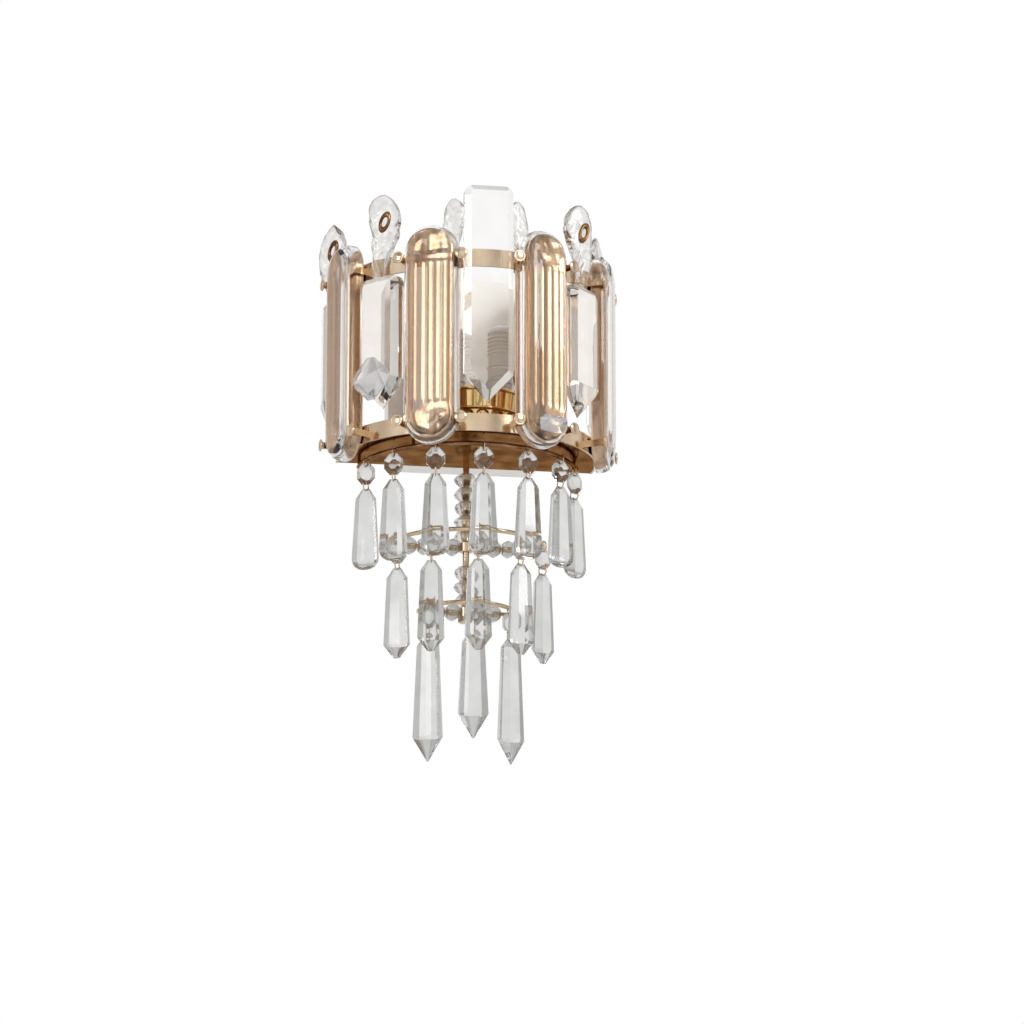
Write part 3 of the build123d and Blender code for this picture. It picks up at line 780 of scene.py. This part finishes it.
# ---- Clear panels ----
# Five flat panels of clear crystal with bevelled fronts and pointed feet. The middle one runs
# up past the band with a square head; the others stop there and carry a separate head.
clear_steps = (-4, -2, 0, 2, 4)
clear_width = 44 * mm
clear_depth = 13 * mm
clear_foot, clear_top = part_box("clear_panel_3")[0].z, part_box("clear_panel_3")[1].z
foot_rise = 24 * mm
ledge_rise = 4 * mm
shoulder = 58 * mm
clear_corner = 8 * mm
bevel_inset = 5.5 * mm
bevel_depth = 5 * mm
foot_slope = 0.24
edge_bevel = 0.6 * mm
panel_crystal = make_crystal(
    "panel_crystal", (0.93, 0.92, 0.90), (0.965, 0.96, 0.945), (0.0, 0.02), 0.12 * mm
)
warm_crystal = make_crystal(
    "warm_crystal", (0.87, 0.82, 0.76), (0.93, 0.895, 0.85), (0.0, 0.02), 0.12 * mm
)


def clear_outline(inset, top):
    """Outline of a clear panel drawn in by the inset, from the top right corner round to the left."""
    half = clear_width / 2 - inset
    corner = max(clear_corner - inset, 1 * mm)
    edge = math.hypot(clear_width / 2, foot_rise)
    points = []
    for middle, start in ((half - corner, 0), (corner - half, 90)):
        for turn in [math.radians(start + 15 * k) for k in range(7)]:
            height = top - inset - corner + corner * math.sin(turn)
            points.append((middle + corner * math.cos(turn), height))
    hip = clear_foot + foot_rise + inset * (edge - foot_rise) / (clear_width / 2)
    tip = clear_foot + inset * edge / (clear_width / 2)
    ledge = clear_foot + foot_rise + ledge_rise
    points += [(-half, ledge), (-half, hip), (0, tip), (half, hip), (half, ledge)]
    return points


sections = [(edge_bevel, 0), (0, edge_bevel)]
sections += [(0, clear_depth - bevel_depth), (bevel_inset, clear_depth)]
for number, step in enumerate(clear_steps, 1):
    top = clear_top if step == 0 else shoulder
    rings = []
    for inset, depth in sections:
        ring = []
        for x, z in clear_outline(inset, top):
            below = max(0, clear_foot + foot_rise + ledge_rise - z)
            slope = foot_slope * below if depth > 1 * mm else 0
            ring.append((x, -(depth - slope), z))
        rings.append(ring)
    upper_face = [*range(14), 14, 18]
    lower_face = [14, 15, 16, 17, 18]
    vertices, faces = skin(rings, [list(range(19))], [upper_face, lower_face])
    finish = panel_crystal if step == 0 else warm_crystal
    place = seat(step * panel_pitch, panel_seat, 0)
    panel = make_piece(f"bevelled_panel_{number}", vertices, faces, finish, 12, place)
    keep_piece(panel, "frame", "clear_crystal", f"clear_panel_{number}")

# ---- Panel heads and leaves ----
# Lumps of bubbled crystal, drawn to a narrow foot, stand on the side panels, turned a little to
# the front. Two smaller leaves flank the middle panel, and gilt eyelets pin the heads.
bubbled = make_crystal(
    "bubbled_crystal", (0.68, 0.665, 0.63), (0.92, 0.905, 0.88), (0.0, 0.12), 1.6 * mm, 1.5, scale=170
)


def make_lump(name, width, rise, depth, sharpness, lumps, seed, place):
    """A lump of poured glass: narrow foot, full head, uneven skin. Its head may be sharper."""
    rows, turns = 52, 48
    widest, foot_share, tip_share, lean_share, flatness = 0.72, 0.40, 0.04, 0.10, 0.6
    rings = []
    for row in range(rows + 1):
        share = row / rows
        if share < widest:
            grown = (share / widest) ** 2 * (3 - 2 * share / widest)
            full = foot_share + (1 - foot_share) * grown
        else:
            full = max(tip_share, 1 - ((share - widest) / (1 - widest)) ** 2) ** sharpness
        lean = lean_share * width * math.sin(5 * share + seed)
        ring = []
        for turn in round_steps(turns):
            across, out = math.cos(turn), math.sin(turn)
            dent = waves(across * 14 * mm, share * rise + out * 9 * mm, 7 * mm, seed)
            bump = lumps * dent * min(1, full * 1.6)
            x = lean * min(1, 2 - 2 * share) + across * ((width / 2 - lumps) * full + bump)
            y = out * ((depth / 2 - lumps * flatness) * full**flatness + bump * flatness)
            ring.append((x, y, share * rise))
        rings.append(ring)
    vertices, faces = skin(rings, [list(range(turns))], [list(range(turns))])
    return make_piece(name, vertices, faces, bubbled, 60, place)


def make_torus(name, radius, wire, finish, place, around=28, section=10):
    """A closed wire ring in the XZ plane."""
    rings = []
    for turn in round_steps(around):
        ring = []
        for side in round_steps(section):
            reach = radius + wire * math.cos(side)
            ring.append((reach * math.cos(turn), wire * math.sin(side), reach * math.sin(turn)))
        rings.append(ring)
    rings.append(rings[0])
    vertices, faces = skin(rings)
    return make_piece(name, vertices, faces, finish, 60, place)


bronze = make_plating("bronzed_eyelets", (0.12, 0.05, 0.02), (0.36, 0.19, 0.085), 0.12, 0.25)
head_gap = 0.3 * mm
head_rise = clear_top - shoulder - head_gap
head_width, head_depth, head_lumps = 32 * mm, 10 * mm, 1.3 * mm
heads = {-4: (50, 0.9), -2: (26, 0.5), 2: (-26, 0.5), 4: (-34, 0.6)}
for number, (step, (turn, sharpness)) in enumerate(heads.items(), 1):
    clear_number = clear_steps.index(step) + 1
    place = seat(step * panel_pitch, panel_seat + 3.5 * mm, shoulder + head_gap)
    place = place @ Matrix.Rotation(math.radians(turn), 4, "Z")
    name, seed = f"crystal_head_{number}", 2.3 * number
    head = make_lump(name, head_width, head_rise, head_depth, sharpness, head_lumps, seed, place)
    keep_piece(head, "frame", "clear_crystal", f"clear_panel_{clear_number}")
    tilt = Matrix.Rotation(math.radians(18), 4, "Y") @ Matrix.Diagonal((0.62, 1, 1.3, 1))
    eyelet_place = place @ Matrix.Translation((2.5 * mm, -4.2 * mm, 0.66 * head_rise)) @ tilt
    eyelet = make_torus(f"eyelet_{number}", 5.8 * mm, 2.2 * mm, bronze, eyelet_place)
    keep_piece(eyelet, "frame", "gilt", f"clear_panel_{clear_number}")

leaf_rise = 66 * mm
leaf_width, leaf_depth, leaf_lumps = 22 * mm, 8 * mm, 1.2 * mm
leaf_angle = 14.8
leaf_radius = band_radius - 2 * mm - 4.3 * mm
leaf_foot = 62 * mm
for number, side in enumerate((-1, 1), 1):
    place = seat(side * leaf_angle, leaf_radius, leaf_foot)
    name, seed = f"crystal_leaf_{number}", 9.1 * number
    leaf = make_lump(name, leaf_width, leaf_rise, leaf_depth, 0.5, leaf_lumps, seed, place)
    keep_piece(leaf, "frame", "clear_crystal", "accent_crystals")

# ---- Faceted blocks ----
# Two cut crystals are glued to panel fronts: a large one, corner up, on the left clear panel,
# and a small oblong one at the foot of the right front amber panel.
back_share = 0.78
girdle_height = 1.2 * mm


def make_ridged_block(name, outline, ridge, depth, girdle, finish, place):
    """A cut block: its outline has a flat back and a girdle, and its front rises to a ridge."""
    size = len(outline)
    vertices = [(back_share * x, 0, back_share * z) for x, z in outline]
    vertices += [(x, -girdle, z) for x, z in outline]
    vertices += [(x, -girdle - girdle_height, z) for x, z in outline]
    vertices += [(x, -depth, z) for x, z in ridge]
    faces = [tuple(range(size))]
    for row in (0, size):
        for k in range(size):
            a, b = row + k, row + (k + 1) % size
            faces.append((a, b, b + size, a + size))
    front, left, right = 2 * size, 3 * size, 3 * size + 1
    half = size // 2
    upper = [front + k for k in range(half + 1)]
    lower = [front + (half + k) % size for k in range(half + 1)]
    for k in range(half):
        near, far = (right, left) if k < half / 2 else (left, right)
        faces += [(upper[k], upper[k + 1], near), (lower[k], lower[k + 1], far)]
    middle = half // 2
    faces += [(upper[middle], left, right), (lower[middle], right, left)]
    return make_piece(name, vertices, faces, finish, None, place)


milky = make_crystal(
    "milky_crystal", (0.86, 0.85, 0.87), (0.93, 0.92, 0.93), (0.02, 0.08), 0.05 * mm, clearness=0.72
)
block_depth = 13.7 * mm
glue_gap = 0.3 * mm
big_half, cut = 24 * mm, 3.8 * mm
tip, hip, crown = big_half - cut, big_half - 2 * cut, big_half - 1.2 * cut
big_outline = [(tip, 0.02 * mm), (hip, 2 * cut), (cut, crown), (-cut, crown), (-hip, 2 * cut)]
big_outline += [(-tip, 0), (-hip, -2 * cut), (-cut, -crown), (cut, -crown), (hip, -2 * cut)]
big_ridge = ((-14 * mm, -3.5 * mm), (14 * mm, 3.5 * mm))
place = seat(-2 * panel_pitch, panel_seat + clear_depth + glue_gap, clear_foot + foot_rise)
big_block = make_ridged_block(
    "corner_block", big_outline, big_ridge, block_depth, 5 * mm, milky, place
)
keep_piece(big_block, "frame", "clear_crystal", "accent_crystals")
small_outline = [(13.5 * mm, 0), (12 * mm, 7 * mm), (4 * mm, 7.6 * mm)]
small_outline += [(-9 * mm, 7.6 * mm), (-13.5 * mm, 4 * mm)]
small_outline += [(-x, -z) for x, z in small_outline]
small_ridge = ((-9.5 * mm, 2 * mm), (10 * mm, 2.6 * mm))
place = seat(panel_pitch, panel_seat + cover_depth + glue_gap, cover_low.z + 17.5 * mm)
small_block = make_ridged_block(
    "oblong_block", small_outline, small_ridge, block_depth, 6 * mm, milky, place
)
keep_piece(small_block, "frame", "clear_crystal", "accent_crystals")

# ---- Clips ----
# Sixteen turned gilt clips, two at each edge of the amber panels, are screwed to the bands. A
# flat stem passes between the panels and a domed, slotted button holds them at the front.
clip_reach = 17 * mm
clip_angle = math.degrees(math.atan2(cover_width / 2 + 0.9 * mm, panel_seat))
clip_heights = [(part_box(band)[0].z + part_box(band)[1].z) / 2 for band in ("upper_band", "lower_band")]


def start_tree(name, sizes):
    """A geometry tree with named size inputs: the tree, its nodes, links, input and output."""
    tree = bpy.data.node_groups.new(name, "GeometryNodeTree")
    tree.interface.new_socket("Geometry", in_out="INPUT", socket_type="NodeSocketGeometry")
    for size in sizes:
        tree.interface.new_socket(size, in_out="INPUT", socket_type="NodeSocketFloat")
    tree.interface.new_socket("Finish", in_out="INPUT", socket_type="NodeSocketMaterial")
    tree.interface.new_socket("Geometry", in_out="OUTPUT", socket_type="NodeSocketGeometry")
    start = tree.nodes.new("NodeGroupInput")
    end = tree.nodes.new("NodeGroupOutput")
    return tree, tree.nodes, tree.links, start.outputs, end.inputs


def stand_on_points(tree, shape, tilt_axis, start, end):
    """Ends a tree: the shape on every point, tilted, turned as the point faces, in its finish."""
    facing = tree.nodes.new("GeometryNodeInputNamedAttribute")
    facing.data_type = "FLOAT"
    facing.inputs["Name"].default_value = "facing"
    turned = tree.nodes.new("ShaderNodeCombineXYZ")
    turned.inputs[tilt_axis].default_value = math.pi / 2
    tree.links.new(facing.outputs["Attribute"], turned.inputs["Z"])
    spread = tree.nodes.new("GeometryNodeInstanceOnPoints")
    tree.links.new(start["Geometry"], spread.inputs["Points"])
    tree.links.new(shape, spread.inputs["Instance"])
    tree.links.new(turned.outputs["Vector"], spread.inputs["Rotation"])
    real = tree.nodes.new("GeometryNodeRealizeInstances")
    paint = tree.nodes.new("GeometryNodeSetMaterial")
    tree.links.new(spread.outputs["Instances"], real.inputs["Geometry"])
    tree.links.new(real.outputs["Geometry"], paint.inputs["Geometry"])
    tree.links.new(start["Finish"], paint.inputs["Material"])
    tree.links.new(paint.outputs["Geometry"], end["Geometry"])


def grow(name, tree, places, turns, sizes, finish, smooth_angle):
    """Runs a tree on points that each face their own way and keeps the result as a plain mesh."""
    points = bpy.data.meshes.new(f"{name}_points")
    points.from_pydata(places, [], [])
    points.attributes.new("facing", "FLOAT", "POINT").data.foreach_set("value", turns)
    source = bpy.data.objects.new(f"{name}_points", points)
    scene.collection.objects.link(source)
    modifier = source.modifiers.new("grow", "NODES")
    modifier.node_group = tree
    for item in tree.interface.items_tree:
        if item.in_out == "INPUT" and item.name in sizes:
            modifier[item.identifier] = float(sizes[item.name])
        if item.in_out == "INPUT" and item.name == "Finish":
            modifier[item.identifier] = finish
    bpy.context.view_layer.update()
    grown = source.evaluated_get(bpy.context.evaluated_depsgraph_get())
    made = bpy.data.meshes.new_from_object(grown)
    made.name = name
    source.modifiers.remove(modifier)
    bpy.data.objects.remove(source)
    made.shade_smooth()
    made.set_sharp_from_angle(angle=math.radians(smooth_angle))
    piece = bpy.data.objects.new(name, made)
    scene.collection.objects.link(piece)
    return piece


def add_moved(nodes, links, geometry, offset=(0, 0, 0), scale=(1, 1, 1)):
    """Moves and scales a shape inside a tree."""
    move = nodes.new("GeometryNodeTransform")
    move.inputs["Translation"].default_value = offset
    move.inputs["Scale"].default_value = scale
    links.new(geometry, move.inputs["Geometry"])
    return move.outputs["Geometry"]


def add_wire_ring(nodes, links, ring_size, wire_size, around):
    """A round wire closed to a ring inside a tree."""
    path = nodes.new("GeometryNodeCurvePrimitiveCircle")
    path.inputs["Resolution"].default_value = around
    links.new(ring_size, path.inputs["Radius"])
    section = nodes.new("GeometryNodeCurvePrimitiveCircle")
    section.inputs["Resolution"].default_value = 10
    links.new(wire_size, section.inputs["Radius"])
    wire = nodes.new("GeometryNodeCurveToMesh")
    links.new(path.outputs["Curve"], wire.inputs["Curve"])
    links.new(section.outputs["Curve"], wire.inputs["Profile Curve"])
    return wire.outputs["Mesh"]


clip_sizes = {
    "Button Radius": 5.5 * mm,
    "Rim Wire": 0.9 * mm,
    "Reach": clip_reach,
    "Stem Width": 1.2 * mm,
    "Stem Height": 6 * mm,
}
tree, nodes, links, start, end = start_tree("turned_clip", clip_sizes)
stem_size = nodes.new("ShaderNodeCombineXYZ")
links.new(start["Stem Width"], stem_size.inputs["X"])
links.new(start["Stem Height"], stem_size.inputs["Y"])
links.new(start["Reach"], stem_size.inputs["Z"])
stem = nodes.new("GeometryNodeMeshCube")
links.new(stem_size.outputs["Vector"], stem.inputs["Size"])
stem_shape = add_moved(nodes, links, stem.outputs["Mesh"], (0, 0, clip_reach / 2))
button = nodes.new("GeometryNodeMeshUVSphere")
button.inputs["Segments"].default_value = 28
button.inputs["Rings"].default_value = 14
links.new(start["Button Radius"], button.inputs["Radius"])
dome_place, dome_scale = (0, 0, clip_reach + 1.1 * mm), (0.92, 0.92, 0.24)
dome_shape = add_moved(nodes, links, button.outputs["Mesh"], dome_place, dome_scale)
rim_radius = nodes.new("ShaderNodeMath")
rim_radius.operation = "MULTIPLY"
rim_radius.inputs[1].default_value = 0.84
links.new(start["Button Radius"], rim_radius.inputs[0])
rim = add_wire_ring(nodes, links, rim_radius.outputs["Value"], start["Rim Wire"], 32)
rim_shape = add_moved(nodes, links, rim, (0, 0, clip_reach + 0.9 * mm))
collar = nodes.new("GeometryNodeMeshCylinder")
collar.inputs["Vertices"].default_value = 24
collar.inputs["Radius"].default_value = 2.6 * mm
collar.inputs["Depth"].default_value = 1.6 * mm
collar_shape = add_moved(nodes, links, collar.outputs["Mesh"], (0, 0, clip_reach - 0.5 * mm))
whole = nodes.new("GeometryNodeJoinGeometry")
for shape in (stem_shape, dome_shape, rim_shape, collar_shape):
    links.new(shape, whole.inputs["Geometry"])
stand_on_points(tree, whole.outputs["Geometry"], "X", start, end)

clip_places, clip_turns = [], []
for height in clip_heights:
    for step in tinted_steps:
        for side in (-1, 1):
            angle = step * panel_pitch + side * clip_angle
            clip_places.append(seat(angle, band_radius, height).translation)
            clip_turns.append(math.radians(angle))
clips = grow("gilt_clips", tree, clip_places, clip_turns, clip_sizes, champagne, 40)
keep_piece(clips, "frame", "gilt", "panel_clips")

# ---- Hanging drops ----
# Each of the fifteen drops is a cut octagon bead and a faceted prism of clear crystal, with a
# rounded foot in the upper tier, a blunt one in the middle tier and a point in the lowest. A
# wire ring hangs the bead on its hoop, and a second ring links the prism to the bead.
# The drop crystal is tinted grey as painted shade: the tint stands in for the dimmer surroundings seen
# through the drops.
drop_crystal = make_crystal(
    "drop_crystal", (0.66, 0.665, 0.65), (0.75, 0.75, 0.735), (0.06, 0.13), 0.12 * mm, 1.47
)
for node in frame["nodes"]:
    if node.startswith("lower_spear_"):
        paint_node(node, drop_crystal)

bead_width = 16 * mm
bead_table = 8 * mm
bead_shoulder = bead_width - 2.2 * mm
bead_depth = 6.8 * mm
bead_shoulder_depth = 3.6 * mm
bead_girdle = 2 * mm
ring_radius = 5 * mm
ring_wire = 0.6 * mm
hole_inset = 2 * mm
hoop_rod = 2 * mm
ring_drop = ring_radius - ring_wire - hoop_rod - 0.3 * mm
facing_share = 0.45
prism_top = 7 * mm
prism_shoulder_drop = 9 * mm
prism_shoulder = 19 * mm
round_foot_rise = 11 * mm
blunt_foot_rise = 12 * mm
blunt_foot = 6 * mm
prism_widths = {"upper": 25 * mm, "middle": 24 * mm}
table_share = 0.42
edge_share = 0.3
thickness_share = 0.5


def make_prism(name, tier, rise, place):
    """A flattened eight-sided prism that hangs from its narrow top and ends in its tier's foot."""
    width = prism_widths[tier]
    if tier == "upper":
        foot = []
        for arc in quarter_steps(10):
            across = max(width * math.cos(arc) ** 0.75, 1 * mm)
            foot.append((rise - round_foot_rise * (1 - math.sin(arc)), across))
    else:
        foot = [(rise - blunt_foot_rise, width), (rise, blunt_foot)]
    rings = []
    for drop, across in [(0, prism_top), (prism_shoulder_drop, prism_shoulder), *foot]:
        half = across / 2
        deep = half * thickness_share
        quarter = [(half, edge_share * deep), (table_share * half, deep)]
        front = quarter + [(-x, y) for x, y in reversed(quarter)]
        outline = front + [(x, -y) for x, y in reversed(front)]
        rings.append([(x, y, -drop) for x, y in outline])
    vertices, faces = skin(rings, [list(range(8))], [list(range(8))])
    return make_piece(name, vertices, faces, drop_crystal, 20, place)


ring_sizes = {"Radius": ring_radius, "Wire": ring_wire}
tree, nodes, links, start, end = start_tree("wire_ring", ring_sizes)
wire_ring = add_wire_ring(nodes, links, start["Radius"], start["Wire"], 30)
stand_on_points(tree, wire_ring, "Y", start, end)

# A bead is a flat octagon, cut alike at its front and its back; the eighths are its corners.
eighths = [math.pi / 8 + math.pi / 4 * k for k in range(8)]
bead_rows = ((bead_table, bead_depth), (bead_shoulder, bead_shoulder_depth), (bead_width, bead_girdle))
rings = []
for across, out in bead_rows:
    reach = across / 2 / math.cos(math.pi / 8)
    rings.append([(reach * math.cos(side), out / 2, reach * math.sin(side)) for side in eighths])
rings += [[(x, -y, z) for x, y, z in ring] for ring in reversed(rings)]
bead_vertices, bead_faces = skin(rings, [list(range(8))], [list(range(8))])
bead_stretch = Matrix.Diagonal((1.06, 1, 1.22, 1))

for joint in frame["joints"]:
    body = joint["child"]
    tier, _, number = body.split("_")
    angle = math.atan2(-joint["axis"][1], -joint["axis"][0])
    hoop = Vector(joint["pos_m"])
    turn = facing_share * angle
    top_ring = hoop - Vector((0, 0, ring_drop))
    bead_top = top_ring.z - ring_radius + hole_inset
    bead_middle = Vector((hoop.x, hoop.y, bead_top - bead_width / 2))
    low_ring = Vector((hoop.x, hoop.y, bead_top - bead_width + hole_inset - ring_radius))
    place = Matrix.Translation(bead_middle) @ Matrix.Rotation(turn, 4, "Z") @ bead_stretch
    name = f"{tier}_octagon_{number}"
    bead = make_piece(name, bead_vertices, bead_faces, drop_crystal, None, place)
    keep_piece(bead, body, "clear_crystal", f"{tier}_bead_{number}")
    name, places = f"{tier}_rings_{number}", [top_ring, low_ring]
    wire_rings = grow(name, tree, places, [turn, turn], ring_sizes, champagne, 60)
    keep_piece(wire_rings, body, "gilt", f"{tier}_bead_{number}")
    if tier in prism_widths:
        prism_low, prism_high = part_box(f"{tier}_spear_{number}")
        place = Matrix.Translation((hoop.x, hoop.y, prism_high.z)) @ Matrix.Rotation(turn, 4, "Z")
        prism = make_prism(f"{tier}_prism_{number}", tier, prism_high.z - prism_low.z, place)
        keep_piece(prism, body, "clear_crystal", f"{tier}_spear_{number}")

# ---- Threaded beads ----
# Cut crystal beads threaded on the cross rods of the hoops, and columns of larger ones that
# stand on the bosses of the stem. Each is eight-sided, bored and polished.
tray_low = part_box("lower_band")[0].z
bead_length = 12 * mm
bead_pitch = 13 * mm
rod_bead, rod_bore = 8 * mm, 2.1 * mm
stem_bead, stem_bore = 11 * mm, 3.1 * mm
boss_gap = 0.3 * mm
boss_radius = 6 * mm
boss_half = 4 * mm
laid_over = Matrix.Rotation(math.pi / 2, 4, "Y")


def thread_bead(radius, bore, place):
    """Points and faces of one bored bead about the Z axis, in its place."""
    profile = [(bore, -0.5), (0.55 * radius, -0.5), (0.86 * radius, -0.27), (radius, -0.05)]
    profile += [(reach, -height) for reach, height in reversed(profile)]
    profile.append(profile[0])
    rings = []
    for reach, share in profile:
        flat = [(reach * math.cos(side), reach * math.sin(side)) for side in eighths]
        rings.append([place @ Vector((x, y, share * bead_length)) for x, y in flat])
    return skin(rings)


vertices, faces = [], []
for hoop, count, ceiling in (("middle_hoop", 4, tray_low), ("lower_hoop", 2, None)):
    low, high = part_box(hoop)
    hoop_height = (low.z + high.z) / 2
    if ceiling is None:
        ceiling = sum(corner.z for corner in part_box("middle_hoop")) / 2 - boss_half
    places = []
    for side in (-1, 1):
        for number_along in range(count):
            x = side * (boss_radius + boss_gap + bead_length / 2 + number_along * bead_pitch)
            lying = Matrix.Translation((x, arc_middle.y, hoop_height)) @ laid_over
            places.append((rod_bead, rod_bore, lying))
    column_foot = hoop_height + boss_half + boss_gap
    for level in range(int((ceiling - column_foot) / bead_pitch)):
        z = column_foot + bead_length / 2 + level * bead_pitch
        standing = Matrix.Translation((0, arc_middle.y, z)) @ Matrix.Rotation(0.3 * level, 4, "Z")
        places.append((stem_bead, stem_bore, standing))
    for radius, bore_radius, place in places:
        points, sides = thread_bead(radius, bore_radius, place)
        offset = len(vertices)
        vertices += points
        faces += [tuple(offset + k for k in side) for side in sides]
threaded = make_piece("threaded_beads", vertices, faces, drop_crystal)
keep_piece(threaded, "frame", "clear_crystal", "accent_crystals")
